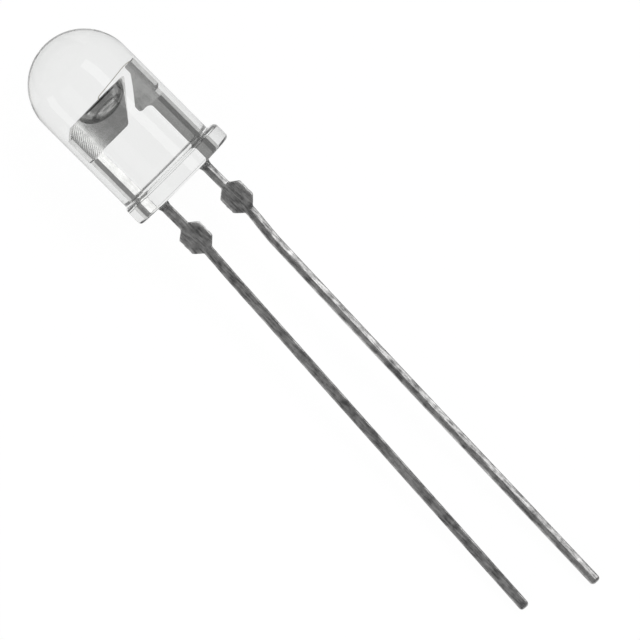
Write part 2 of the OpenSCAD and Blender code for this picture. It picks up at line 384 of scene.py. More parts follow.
# the strip that both stampings are cut from, which the resin fits round
strip = {"width": 0.46, "thick": 0.46, "pitch": 2.54, "stampR": 0.06, "rim": 0.014,
         "coat": 0.008, "splitZ": -0.1, "facetFrom": 0.015, "legBevel": 0.15, "bowStart": 12.0}
leadX = strip["pitch"] / 2
halfW = strip["width"] / 2


def makeResin():
    material, tree, shader, place = startMaterial("clearResin")
    shader.inputs["Transmission Weight"].default_value = 1.0
    shader.inputs["IOR"].default_value = lens["ior"]
    clouds = noiseNode(tree, place, lens["cloudScale"], 2.0)
    specks = useGroup(tree, speckGroup, place, Scale=lens["speckScale"], Size=lens["speckSize"])
    mask = specks.outputs["Mask"]
    tree.links.new(colourMix(tree, clouds, lens["clear"], lens["aged"]),
                   shader.inputs["Base Color"])
    wear = noiseNode(tree, place, lens["wearScale"], lens["wearDetail"], lens["wearGrit"])
    worn = rangeNode(tree, wear, lens["wearFrom"], lens["wearTo"], 0.0, lens["wearRough"])
    tree.links.new(mathNode(tree, "MULTIPLY_ADD", mask, lens["speckRough"], worn),
                   shader.inputs["Roughness"])
    wave = mathNode(tree, "ADD", noiseNode(tree, place, lens["waveScale"], 1.0),
                    mathNode(tree, "MULTIPLY", mask, lens["speckHeight"]))
    bumpTo(tree, shader, wave, lens["bump"], lens["bumpHeight"])
    return material


def clamp(share):
    return min(1.0, max(0.0, share))


def softMin(a, b, k):
    # the smaller of two numbers, rounded over where they meet
    h = clamp(0.5 + 0.5 * (b - a) / k)
    return b * (1 - h) + a * h - k * h * (1 - h)


def lensProfile():
    # from the flat underside out round the flange, up the body and over the dome
    bodyR, flangeR, flangeT = lens["bodyR"], lens["flangeR"], lens["flangeT"]
    low, top, neck = lens["lowRound"], lens["topRound"], lens["neckR"]
    domeZ = lens["height"] - bodyR
    underside = [(r, 0) for r in np.linspace(lens["padR"], flangeR - low, 14)[:-1]]
    side = [(flangeR, z) for z in np.linspace(low, flangeT - top, 7)[1:-1]]
    shoulder = [(r, flangeT) for r in np.linspace(flangeR - top, bodyR + neck, 9)[1:-1]]
    barrel = [(bodyR, z) for z in np.linspace(flangeT + neck, domeZ, 14)[1:-1]]
    return (underside + arc(flangeR - low, low, low, -90, 0, 8) + side
            + arc(flangeR - top, flangeT - top, top, 0, 90, 12) + shoulder
            + arc(bodyR + neck, flangeT + neck, neck, -90, -180, 6) + barrel
            + arc(0, domeZ, bodyR, 0, 90, 44)[:-1])


def squareLoop(cx, half, corner, out, steps=8):
    # a square round a lead, grown outwards by a distance, with its corners rounded
    loop = []
    for quarter in range(4):
        sx = 1 if quarter in (0, 3) else -1
        sy = 1 if quarter in (0, 1) else -1
        for k in range(steps + 1):
            a = math.radians(90 * quarter + 90 * k / steps)
            r = corner + out
            loop.append((cx + sx * (half - corner) + r * math.cos(a),
                         sy * (half - corner) + r * math.sin(a)))
    return loop


def creepDepth(out):
    # how far the resin has crept down at this distance from a lead
    share = clamp(1 - out / lens["creepReach"])
    return -lens["creepH"] * share ** lens["creepCurve"]


def flatInset(z):
    # the flat steps in where its lower and upper edges are rounded
    low, top = lens["lowRound"], lens["flatTopRound"]
    if z < low:
        return low - math.sqrt(low * low - (low - z) ** 2)
    over = min(top, z - lens["flangeT"] + top)
    return top - math.sqrt(top * top - over * over) if over > 0 else 0.0


def makeLens():
    rings = []
    for r, z in lensProfile():
        ring = []
        flatX = lens["flatX"] - flatInset(z)
        for t in range(lens["turns"]):
            a = 2 * math.pi * t / lens["turns"]
            flatR = flatX / max(-math.cos(a), 0.01)  # far out, away from the flat's side
            held = softMin(r, flatR, lens["edgeSoft"])
            ring.append((held * math.cos(a), held * math.sin(a), z))
        rings.append(ring)
    points, faces = skin(rings, closeStart=False, closeEnd=False)
    apex = len(points)
    points.append((0, 0, lens["height"]))
    last = (len(rings) - 1) * lens["turns"]
    faces += [(last + j, last + (j + 1) % lens["turns"], apex) for j in range(lens["turns"])]

    # the underside, with the resin's collars round the leads
    flat = [Vector(p[:2]) for p in rings[0]]
    depth = [0.0] * len(flat)
    edges = [(j, (j + 1) % len(flat)) for j in range(len(flat))]
    for cx in (-leadX, leadX):
        for out in lens["creepRings"]:
            loop = squareLoop(cx, halfW, lens["holeCorner"], out)
            first = len(flat)
            flat += [Vector(p) for p in loop]
            depth += [creepDepth(out)] * len(loop)
            edges += [(first + j, first + (j + 1) % len(loop)) for j in range(len(loop))]
    spots, _, tris, origins, _, _ = delaunay_2d_cdt(flat, edges, [], 0, 1e-6)
    index = []
    for spot, origin in zip(spots, origins):
        source = origin[0]
        if source < lens["turns"]:
            index.append(source)
        else:
            index.append(len(points))
            points.append((spot.x, spot.y, depth[source]))
    faces += [tuple(index[v] for v in tri) for tri in tris]
    mesh = tidyMesh(newMesh("lensClear", points, faces))
    piece = finishPiece("lensClear", mesh, [makeResin()], sharpAngle=60)
    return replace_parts(piece, "lens")


makeLens()
print("lens made")


# Lead frame

tab = {"drop": 1.42, "h": 1.48, "w": 1.2, "topSlope": 0.3, "lowSlope": 0.36,
       "shear": 0.035, "ragFrom": 0.85, "soft": 0.03, "thin": 0.012}
anvil = {"z": 5.22, "h": 1.7, "reach": 0.98, "foot": 0.1, "over": 0.05, "chamfer": 0.42,
         "tipR": 0.15, "fillet": 0.12}
post = {"rise": 0.22, "gap": 0.36, "over": 0.19, "step": 0.12, "noseH": 0.34, "noseR": 0.12,
        "noseReach": 0.07, "kneeDrop": 0.17, "kneeR": 0.2, "fillet": 0.24}
cup = {"bowlR": 0.88, "bowlEdge": 0.02, "rimR": 0.64, "floorR": 0.38, "depth": 0.42,
       "lip": 0.012, "floorFillet": 0.05, "toolH": 0.3}
# lead holds what both leads share, and the two below it hold what differs
lead = {"start": 0.06, "tabStep": 0.025, "step": 0.18, "pastTab": 0.3, "tipRun": 0.4,
        "tipTurn": 0.47, "sides": 64, "bendRun": 0.24, "settleRun": 1.2, "tabOnset": 0.2,
        "tabSquare": 5.0, "swell": 0.012, "swellScale": 0.8, "ragScale": 7.0, "ragDepth": 2.0}
cathodeLeg = {"side": -1, "length": 24.0, "lean": 3.4, "twist": -2.0, "square": 9.0,
              "bow": -0.02, "facet": 0.0, "tipR": 0.16, "seed": 3.0}
anodeLeg = {"side": 1, "length": 25.4, "lean": 2.0, "twist": 4.0, "square": 7.0,
            "bow": -0.1, "facet": 15.0, "tipR": 0.16, "seed": 11.0}
# the shade values darken the silver: the heads somewhat, and painted shade on the legs and the
# bowl, round a painted bright ring; the mouth values paint a dark shade line round the cup's mouth
head = {"shade": 0.34, "anodeShade": 0.8, "cathodeShade": 0.25, "rough": 0.22, "bowlRough": 0.2,
        "roughFade": 0.05, "footFade": 0.1, "marksFrom": -1.12, "marksTo": -0.98, "markTurn": -50.0,
        "markScale": 3.77, "markWander": 1.2, "markShade": 0.65, "markHeight": 3.0,
        "bowlShade": 0.8, "edgeShade": 0.9, "paintedRingFrom": 0.55, "paintedRingTo": 0.59, "fade": 0.07,
        "mouthH": 0.06, "mouthFade": 0.03, "mouthIn": 0.05, "mouthShadeTone": 0.04}
plating = {"streakScale": 14.0, "grainScale": 45.0, "pitScale": 9.0, "pitSize": 0.22,
           "bumpHeight": 0.00001}
silverSkin = {"light": (0.88, 0.88, 0.87), "dark": (0.4, 0.4, 0.395), "rough": (0.03, 0.07),
              "tone": (0.05, 0.6), "clouds": 3.0, "shares": (0.7, 0.35), "pits": 0.0,
              "head": 1.0, "bump": 0.15}
tinSkin = {"light": (0.76, 0.755, 0.75), "dark": (0.18, 0.18, 0.18), "rough": (0.16, 0.36),
           "tone": (0.38, 0.68), "clouds": 2.4, "shares": (0.5, 0.55), "pits": 0.5,
           "head": 0.0, "bump": 0.45}


def makeHeadGroup():
    # how far each part of the silver is darkened: the heads somewhat, with slanted press marks near
    # the anvil's outer end; the bowl with painted shade round a painted bright ring, the cup's
    # mouth with a painted shade line, and the legs with painted shade, the anode's most of all and
    # the cathode's a little
    group, gin, gout = newGroup(
        "headShadeAndMarks",
        [("Place", "NodeSocketVector", None)],
        [("Shade", "NodeSocketFloat"), ("Rough", "NodeSocketFloat"), ("Height", "NodeSocketFloat"),
         ("MouthShade", "NodeSocketFloat")])
    place = gin.outputs["Place"]
    parts = group.nodes.new("ShaderNodeSeparateXYZ")
    group.links.new(place, parts.inputs["Vector"])
    lowZ = anvil["z"] - anvil["h"]
    onHead = rangeNode(group, parts.outputs["Z"], lowZ - head["footFade"], lowZ, 0.0, 1.0)
    outer = rangeNode(group, parts.outputs["X"], head["marksFrom"], head["marksTo"], 1.0, 0.0)
    inner = mathNode(group, "SUBTRACT", 1.0, outer)
    endX = -leadX - halfW - anvil["over"]
    onFace = rangeNode(group, parts.outputs["X"], endX, endX + strip["rim"] * 2, 0.0, 1.0)
    turned = addNode(group, "ShaderNodeMapping",
                     Rotation=(0, math.radians(head["markTurn"]), 0))
    group.links.new(place, turned.inputs["Vector"])
    lines = addNode(group, "ShaderNodeTexWave", Scale=head["markScale"],
                    Distortion=head["markWander"], Detail=1.0)
    group.links.new(turned.outputs["Vector"], lines.inputs["Vector"])
    marks = mathNode(group, "MULTIPLY", mathNode(group, "MULTIPLY", outer, onFace),
                     lines.outputs["Fac"])
    faceShade = mathNode(group, "MULTIPLY_ADD", marks, head["markShade"],
                         mathNode(group, "MULTIPLY", inner, head["shade"]))
    reach = group.nodes.new("ShaderNodeVectorMath")
    reach.operation = "DISTANCE"
    reach.inputs[1].default_value = (0, 0, anvil["z"])
    group.links.new(place, reach.inputs[0])
    onBowl = mathNode(group, "LESS_THAN", reach.outputs["Value"], cup["bowlR"] + cup["lip"])
    # painted reflection on the bowl, seen from its side: a bright ring stays, with painted shade
    # inside it and a darker painted crescent outside it
    depth = mathNode(group, "SUBTRACT", parts.outputs["Z"], anvil["z"])
    squares = mathNode(group, "MULTIPLY_ADD", depth, depth,
                       mathNode(group, "MULTIPLY", parts.outputs["X"], parts.outputs["X"]))
    spread = mathNode(group, "SQRT", squares)
    bowlShade = mathNode(
        group, "ADD",
        rangeNode(group, spread, head["paintedRingFrom"] - head["fade"], head["paintedRingFrom"],
                  head["bowlShade"], 0.0),
        rangeNode(group, spread, head["paintedRingTo"], head["paintedRingTo"] + head["fade"],
                  0.0, head["edgeShade"]))
    extra = mathNode(group, "MULTIPLY", onBowl, mathNode(group, "SUBTRACT", bowlShade, faceShade))
    shade = mathNode(group, "ADD", faceShade, extra)
    # painted shade: a dark band round the cup's mouth, where shade falls under its rim
    band = mathNode(
        group, "MULTIPLY",
        rangeNode(group, depth, -head["mouthH"] - head["mouthFade"], -head["mouthH"], 0.0, 1.0),
        rangeNode(group, depth, cup["lip"] / 2, cup["lip"] * 0.9, 1.0, 0.0))
    beside = rangeNode(group, mathNode(group, "ABSOLUTE", parts.outputs["X"]),
                       cup["rimR"] - head["mouthIn"], cup["rimR"] + head["mouthFade"], 1.0, 0.0)
    mouth = mathNode(group, "MULTIPLY", band, mathNode(group, "MULTIPLY", beside, onBowl))
    group.links.new(mouth, gout.inputs["MouthShade"])
    # painted shade on the legs: the anode's leg, on the right of the axis, gets the most; the
    # cathode's, on the left, gets a little, which holds back its reflection
    legShade = mathNode(group, "MULTIPLY_ADD",
                        mathNode(group, "GREATER_THAN", parts.outputs["X"], 0.0),
                        head["anodeShade"] - head["cathodeShade"], head["cathodeShade"])
    onLeg = mathNode(group, "SUBTRACT", 1.0, onHead)
    group.links.new(mathNode(group, "MULTIPLY_ADD", onHead, shade,
                             mathNode(group, "MULTIPLY", onLeg, legShade)),
                    gout.inputs["Shade"])
    rough = rangeNode(group, reach.outputs["Value"], cup["bowlR"],
                      cup["bowlR"] + head["roughFade"], head["bowlRough"], head["rough"])
    group.links.new(mathNode(group, "MULTIPLY", onHead, rough), gout.inputs["Rough"])
    high = mathNode(group, "MULTIPLY", marks, head["markHeight"])
    group.links.new(mathNode(group, "MULTIPLY", onHead, high), gout.inputs["Height"])
    return group


headGroup = makeHeadGroup()


def makeMetal(name, skinValues):
    material, tree, shader, place = startMaterial(name)
    shader.inputs["Metallic"].default_value = 1.0
    cloudShare, streakShare = skinValues["shares"]
    surface = useGroup(tree, skinGroup, place, Cloud_Scale=skinValues["clouds"],
                       Streak_Scale=plating["streakScale"], Grain_Scale=plating["grainScale"],
                       Cloud_Share=cloudShare, Streak_Share=streakShare)
    pits = useGroup(tree, speckGroup, place, Scale=plating["pitScale"], Size=plating["pitSize"])
    shadeAndMarks = useGroup(tree, headGroup, place)
    light = rangeNode(tree, surface.outputs["Tone"], *skinValues["tone"], 0.0, 1.0)
    # pits darken the tone, and so does the head group's Shade, which holds painted shade
    for mask, depth in ((pits.outputs["Mask"], skinValues["pits"]),
                        (shadeAndMarks.outputs["Shade"], skinValues["head"])):
        kept = mathNode(tree, "MULTIPLY_ADD", mask, -depth, 1.0)
        light = mathNode(tree, "MULTIPLY", light, kept)
    plated = colourMix(tree, light, skinValues["dark"], skinValues["light"])
    # painted shade: the cup's mouth is darkened to a near black
    mouthShaded = colourMix(tree, shadeAndMarks.outputs["MouthShade"], plated, (head["mouthShadeTone"],) * 3)
    tree.links.new(mouthShaded, shader.inputs["Base Color"])
    low, high = skinValues["rough"]
    rough = rangeNode(tree, surface.outputs["Tone"], *skinValues["tone"], high, low)
    tree.links.new(mathNode(tree, "MULTIPLY_ADD", shadeAndMarks.outputs["Rough"], skinValues["head"],
                            rough), shader.inputs["Roughness"])
    height = mathNode(tree, "MULTIPLY_ADD", shadeAndMarks.outputs["Height"], skinValues["head"],
                      surface.outputs["Height"])
    bumpTo(tree, shader, height, skinValues["bump"], plating["bumpHeight"])
    return material


silver = makeMetal("silverPlate", silverSkin)
tin = makeMetal("dippedTin", tinSkin)


def tabReach(s):
    # how far a tab stands out past its lead, at a distance s below the seating plane
    full = (tab["w"] - strip["width"]) / 2
    start, end = tab["drop"], tab["drop"] + tab["h"]
    reach = 0.0
    for shift in (-1, 0, 1):  # the mean of three places softens the tab's corners
        at = s + shift * tab["soft"]
        rise = (at - start) / tab["topSlope"]
        fall = (end - at) / tab["lowSlope"]
        reach += full * clamp(min(rise, fall)) / 3
    return reach


def legRings(leg):
    # square rings down the lead: fine over the tab, coarse below it, and closing at the tip
    half = halfW + strip["coat"]
    length, tipR = leg["length"], leg["tipR"]
    tabEnd = tab["drop"] + tab["h"]
    plainFrom, plainTo = tabEnd + lead["pastTab"], length - lead["tipRun"]
    stations = np.concatenate([
        np.arange(lead["start"], plainFrom, lead["tabStep"]),
        np.arange(plainFrom, plainTo, lead["step"]),
        np.linspace(plainTo, length - tipR, 5)[:-1],
        length - tipR * (1 - np.sin(np.linspace(0, lead["tipTurn"], 10) * math.pi))])
    x, z, previous = leg["side"] * leadX, 0.0, 0.0
    rings = []
    for s in stations:
        bend = clamp((s - tabEnd + lead["bendRun"] / 2) / lead["bendRun"])
        heading = math.radians(leg["lean"]) * bend * bend * (3 - 2 * bend)
        x -= math.sin(heading) * (s - previous)
        z -= math.cos(heading) * (s - previous)
        previous = s
        reach = tabReach(s)
        onTab = clamp(reach / lead["tabOnset"])
        square = leg["square"] + lead["tabSquare"] * onTab
        settled = clamp((s - tabEnd) / lead["settleRun"])
        along = clamp((s - tabEnd) / (length - tabEnd))
        start = clamp(along * strip["bowStart"])
        sway = leg["bow"] * start ** 2 * (3 - 2 * start) * math.cos(along * math.pi / 2)
        twist = math.radians(leg["twist"]) * settled
        tipShare = max(0.0, s - length + tipR) / tipR
        tipShrink = 1 - tipR / half * (1 - math.sqrt(1 - tipShare * tipShare))
        swell = 1 + lead["swell"] * noise.noise(
            Vector((s * lead["swellScale"], leg["seed"], 0)))
        ring = []
        for k in range(lead["sides"]):
            a = 2 * math.pi * (k + 0.5) / lead["sides"]
            c, d = math.cos(a), math.sin(a)
            grow = (abs(c) ** square + abs(d) ** square) ** (-1 / square)
            across, deep = grow * c, grow * d
            rim = max(0.0, abs(across) - tab["ragFrom"]) / (1 - tab["ragFrom"])
            shear = tab["shear"] * onTab * rim
            rag = noise.noise(Vector((s * lead["ragScale"], deep * lead["ragDepth"],
                                      leg["seed"] + across)))
            wide = (half * swell + reach) * tipShrink + shear * rag
            thick = (half * swell - tab["thin"] * onTab) * tipShrink
            px, py = across * wide, deep * thick
            if py < 0 and px > strip["facetFrom"] and not reach:
                slope = math.tan(math.radians(leg["facet"])) * tipShrink
                py = min(0, max(py, (px - strip["facetFrom"]) * slope - thick))
            tx = px * math.cos(twist) - py * math.sin(twist)
            ty = px * math.sin(twist) + py * math.cos(twist)
            ring.append((x + sway + tx * math.cos(heading), ty, z - tx * math.sin(heading)))
        rings.append(ring)
    return rings


anvilLowZ = anvil["z"] - anvil["h"]
postZ = anvil["z"] + post["rise"]
slant = math.atan((anvil["reach"] - anvil["foot"]) / anvil["h"])


def postInX(z):
    # the post's slanted edge runs beside the anvil's, a gap away
    return (anvil["foot"] + (z - anvilLowZ) * math.tan(slant)
            + post["gap"] / math.cos(slant))


def anvilCorners():
    left = -leadX - halfW
    out = left - anvil["over"]
    soft = strip["stampR"]
    return [(out, anvilLowZ, soft),
            (out, anvil["z"] - anvil["chamfer"], soft),
            (out + anvil["chamfer"], anvil["z"], soft),
            (anvil["reach"], anvil["z"], soft),
            (anvil["foot"], anvilLowZ, anvil["tipR"]),
            (-leadX + halfW, anvilLowZ, anvil["fillet"]),
            (-leadX + halfW, strip["splitZ"], 0),
            (left, strip["splitZ"], 0),
            (left, anvilLowZ - anvil["over"], soft)]


def postCorners():
    right = leadX + halfW
    out = right + post["over"]
    noseZ = anvilLowZ + post["noseH"]
    noseX = postInX(noseZ) - post["noseReach"]
    kneeZ = anvil["z"] - post["kneeDrop"]
    soft = strip["stampR"]
    return [(out, noseZ, soft),
            (right, noseZ - post["step"], soft),
            (right, strip["splitZ"], 0),
            (leadX - halfW, strip["splitZ"], 0),
            (leadX - halfW, anvilLowZ, post["fillet"]),
            (noseX, anvilLowZ, post["noseR"]),
            (noseX, noseZ, post["noseR"]),
            (postInX(kneeZ), kneeZ, post["kneeR"]),
            (postInX(kneeZ), postZ, soft),
            (out, postZ, soft)]


def cupMesh():
    # the tool that presses the cup: a cone with a small fillet at its floor
    floorZ, fillet = anvil["z"] - cup["depth"], cup["floorFillet"]
    flare = (cup["rimR"] - cup["floorR"]) / cup["depth"]
    profile = [(cup["floorR"] - fillet, floorZ)]
    profile += [(cup["floorR"] - fillet * (1 - math.sin(a)) + flare * fillet * (1 - math.cos(a)),
                 floorZ + fillet * (1 - math.cos(a)))
                for a in np.radians([20, 40, 60, 75, 90])]
    profile.append((cup["rimR"] + flare * cup["toolH"], anvil["z"] + cup["toolH"]))
    return tidyMesh(newMesh("cupTool", *skin(lathe(profile, 96, 0.5))))


def bowlMesh():
    # the half ball that the press draws down round the cup
    top, r, edge = anvil["z"] + cup["lip"], cup["bowlR"], cup["bowlEdge"]
    profile = [(r * math.sin(a), top - r * math.cos(a))
               for a in np.radians(np.linspace(3, 88, 30))]
    profile += [(r, top - edge), (r - edge / 3, top - edge / 3), (r - edge, top)]
    return tidyMesh(newMesh("bowl", *skin(lathe(profile, 96))))


def bevelMesh(side):
    # the tool that takes the front outer edge off a leg inside the resin
    x, y, size = side * (leadX + halfW), -strip["thick"] / 2, strip["legBevel"]
    spare = 0.02
    lowZ, highZ = spare, anvil["z"] - anvil["h"] - 5 * spare
    corners = [(x - side * (size + spare), y - spare), (x + side * spare, y - spare),
               (x + side * spare, y + size + spare)]
    rings = [[(cx, cy, lowZ) for cx, cy in corners],
             [(cx, cy, highZ) for cx, cy in corners]]
    return tidyMesh(newMesh("bevelTool", *skin(rings)))


def legMesh(leg):
    return tidyMesh(newMesh("leg", *skin(legRings(leg))))


def coatOf(centre):
    # tin below the plates' low ends, which lie inside the resin's collars, and silver above
    hair = 0.005
    return 1 if centre.z < strip["splitZ"] - hair else 0


def makeCathode():
    plate = plateMesh("cathodePlate", anvilCorners(), strip["thick"], strip["rim"])
    mesh = combine("cathode", plate, [(bowlMesh(), "UNION"), (cupMesh(), "DIFFERENCE"),
                                      (bevelMesh(-1), "DIFFERENCE"),
                                      (legMesh(cathodeLeg), "UNION")])
    piece = finishPiece("cathodeStamping", mesh, [silver, tin],
                        sharpAngle=35, materialOf=coatOf)
    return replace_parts(piece, "cathode_lead")


def makeAnode():
    plate = plateMesh("anodePlate", postCorners(), strip["thick"], strip["rim"])
    mesh = combine("anode", plate, [(bevelMesh(1), "DIFFERENCE"), (legMesh(anodeLeg), "UNION")])
    piece = finishPiece("anodeStamping", mesh, [silver, tin],
                        sharpAngle=35, materialOf=coatOf)
    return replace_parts(piece, "anode_lead")


makeCathode()
makeAnode()
print("lead frame made")


# Chip and wire

chip = {"side": 0.3, "h": 0.18, "edge": 0.012, "ior": 1.9, "coat": 0.3,
        "dark": (0.34, 0.36, 0.38), "light": (0.5, 0.53, 0.56), "layerScale": 30.0,
        "rough": (0.12, 0.3), "grainScale": 80.0, "bump": 0.2, "bumpHeight": 0.000004}
pad = {"r": 0.06, "h": 0.006, "sink": 0.002}
paste = {"thick": 0.02, "collarH": 0.07, "collarW": 0.07, "corner": 0.03,
         "dark": (0.5, 0.5, 0.48), "light": (0.82, 0.82, 0.8), "flakeScale": 55.0,
         "flakeEdge": (0.4, 0.6), "metal": (0.3, 0.9), "rough": (0.65, 0.4), "bump": 0.5,
         "bumpHeight": 0.000008}
wire = {"d": 0.03, "sides": 16, "ballD": 0.1, "ballH": 0.03, "loopR": 0.12, "loopSlope": 8.0,
        "landR": 1.0, "landAngle": 14.0, "bendSteps": 14,
        "stitchL": 0.13, "stitchW": 0.09, "stitchT": 0.016,
        "dark": (0.62, 0.56, 0.44), "light": (0.82, 0.76, 0.62), "tone": (0.3, 0.9),
        "rough": (0.2, 0.34), "cloudScale": 9.0, "drawnScale": 70.0, "grainScale": 120.0,
        "drawnShare": 0.5, "bump": 0.2, "bumpHeight": 0.000003}
cupFloorZ = anvil["z"] - cup["depth"]
chipZ = cupFloorZ + paste["thick"]
chipTopZ = chipZ + chip["h"]


def makeCrystal():
    material, tree, shader, place = startMaterial("chipCrystal")
    shader.inputs["IOR"].default_value = chip["ior"]
    shader.inputs["Coat Weight"].default_value = chip["coat"]
    layers = noiseNode(tree, place, chip["layerScale"], 2.0)
    tree.links.new(colourMix(tree, layers, chip["dark"], chip["light"]),
                   shader.inputs["Base Color"])
    tree.links.new(rangeNode(tree, layers, *noiseBand, *chip["rough"]),
                   shader.inputs["Roughness"])
    grain = noiseNode(tree, place, chip["grainScale"], 2.0)
    bumpTo(tree, shader, grain, chip["bump"], chip["bumpHeight"])
    return material


def makePasteFinish():
    material, tree, shader, place = startMaterial("silverPaste")
    flakes = noiseNode(tree, place, paste["flakeScale"], 4.0, 0.7)
    tree.links.new(colourMix(tree, flakes, paste["dark"], paste["light"]),
                   shader.inputs["Base Color"])
    tree.links.new(rangeNode(tree, flakes, *paste["flakeEdge"], *paste["metal"]),
                   shader.inputs["Metallic"])
    tree.links.new(rangeNode(tree, flakes, *noiseBand, *paste["rough"]),
                   shader.inputs["Roughness"])
    bumpTo(tree, shader, flakes, paste["bump"], paste["bumpHeight"])
    return material


def makeGoldFinish():
    material, tree, shader, place = startMaterial("goldWire")
    shader.inputs["Metallic"].default_value = 1.0
    drawn = useGroup(tree, skinGroup, place, Cloud_Scale=wire["cloudScale"],
                     Streak_Scale=wire["drawnScale"], Grain_Scale=wire["grainScale"],
                     Streak_Share=wire["drawnShare"])
    tone = rangeNode(tree, drawn.outputs["Tone"], *wire["tone"], 0.0, 1.0)
    tree.links.new(colourMix(tree, tone, wire["dark"], wire["light"]),
                   shader.inputs["Base Color"])
    tree.links.new(rangeNode(tree, drawn.outputs["Grain"], *noiseBand, *wire["rough"]),
                   shader.inputs["Roughness"])
    bumpTo(tree, shader, drawn.outputs["Height"], wire["bump"], wire["bumpHeight"])
    return material


gold = makeGoldFinish()


def squareRing(half, corner, z, steps=6):
    return [(x, y, z) for x, y in squareLoop(0, half, corner, 0, steps)]


def makeChip():
    half, edge = chip["side"] / 2, chip["edge"]
    steps = [(half - edge / 2, chipZ), (half, chipZ + edge / 2), (half, chipTopZ - edge),
             (half - edge * 0.3, chipTopZ - edge * 0.3), (half - edge, chipTopZ)]
    rings = [squareRing(r, edge, z) for r, z in steps]
    mesh = tidyMesh(newMesh("chipBlock", *skin(rings)))
    piece = finishPiece("chipBlock", mesh, [makeCrystal()], sharpAngle=50)
    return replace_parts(piece, "chip")


def makePaste():
    # a bed with a hollow collar that climbs the chip's sides
    half, collarW = chip["side"] / 2, paste["collarW"]
    rise = [(1.0, 0.0), (0.7, 0.17), (0.4, 0.43), (0.15, 0.74), (0.06, 1.0)]
    rings = [squareRing(half + collarW * out, collarW * out + paste["corner"],
                        cupFloorZ + paste["collarH"] * up) for out, up in rise]
    mesh = tidyMesh(newMesh("pasteBed", *skin(rings)))
    piece = finishPiece("pasteBed", mesh, [makePasteFinish()], sharpAngle=60)
    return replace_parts(piece, "chip_paste")


def wireRings():
    # straight up from the chip, over a bend, up a slight slope, then down to lie on the post
    r, loopR, landR = wire["d"] / 2, wire["loopR"], wire["landR"]
    land, slope = math.radians(wire["landAngle"]), math.radians(wire["loopSlope"])
    kneeZ = anvil["z"] - post["kneeDrop"]
    stitchX = (postInX(kneeZ) + leadX + halfW + post["over"]) / 2
    landX = stitchX - landR * math.sin(land)
    landZ = postZ + r - landR * math.cos(land)
    runStart = loopR * (1 - math.sin(slope))
    runLength = landX - landR * math.sin(slope) - runStart
    loopZ = landZ + (landR - loopR) * math.cos(slope) - runLength * math.tan(slope)
    steps, sides = wire["bendSteps"], wire["sides"]
    path = [(0, chipTopZ + 0.5 * wire["ballH"], 90)]
    for cx, cz, radius, start, end in (
            (loopR, loopZ, loopR, 180, 90 + wire["loopSlope"]),
            (landX, landZ, landR, 90 + wire["loopSlope"], 90 - wire["landAngle"])):
        path += [(x, z, a - 90) for (x, z), a in
                 zip(arc(cx, cz, radius, start, end, steps),
                     np.linspace(start, end, steps + 1))]
    rings = []
    for x, z, heading in path:
        h = math.radians(heading)
        ring = []
        for k in range(sides):
            a = 2 * math.pi * k / sides
            up, side = r * math.sin(a), r * math.cos(a)
            ring.append((x - up * math.sin(h), side, z + up * math.cos(h)))
        rings.append(ring)
    return rings, stitchX


def makeWire():
    rings, stitchX = wireRings()
    loop = tidyMesh(newMesh("wireLoop", *skin(rings)))
    # the ball is squashed on the chip, the stitch on the post: shares of radius and height
    ballShares = [(0.7, 0.0), (0.94, 0.2), (1.0, 0.45), (0.9, 0.75), (0.62, 0.97), (0.4, 1.1),
                  (0.32, 1.6)]
    ballProfile = [(r * wire["ballD"] / 2, chipTopZ + h * wire["ballH"]) for r, h in ballShares]
    ball = tidyMesh(newMesh("wireBall", *skin(lathe(ballProfile, 32))))
    stitchShares = [(0.9, 0.0), (1.0, 0.35), (0.86, 0.8), (0.5, 1.0)]
    stitchRings = [[(stitchX + r * wire["stitchL"] / 2 * math.cos(a),
                     r * wire["stitchW"] / 2 * math.sin(a),
                     postZ + h * wire["stitchT"])
                    for a in np.linspace(0, 2 * math.pi, 33)[:-1]]
                   for r, h in stitchShares]
    stitch = tidyMesh(newMesh("wireStitch", *skin(stitchRings)))
    mesh = combine("wire", loop, [(ball, "UNION"), (stitch, "UNION")])
    piece = finishPiece("bondWire", mesh, [gold])
    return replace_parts(piece, "bond_wire")


def makePad():
    # the thin metal pad on the chip's top, under the wire's ball
    r, h = pad["r"], pad["h"]
    profile = [(r, chipTopZ - pad["sink"]), (r, chipTopZ + h * 0.7), (r - h * 0.3, chipTopZ + h)]
    mesh = tidyMesh(newMesh("chipPad", *skin(lathe(profile, 40))))
    return finishPiece("chipPad", mesh, [gold])


makeChip()
makePaste()
makeWire()
makePad()
print("chip and wire made")


# Stage

stage = {"floorSize": 3.0, "floorGlow": 0.955, "floorTone": 0.12, "floorRough": 0.9,
         "bounceTone": 0.8, "paperGlow": 0.89, "paperFar": 0.3, "paperSines": (0.1, 0.75),
         "leadShare": 0.2,
         "roomTones": ((0.0, 0.4), (0.05, 0.36), (0.2, 0.32), (0.7, 0.26), (1.0, 0.29))}


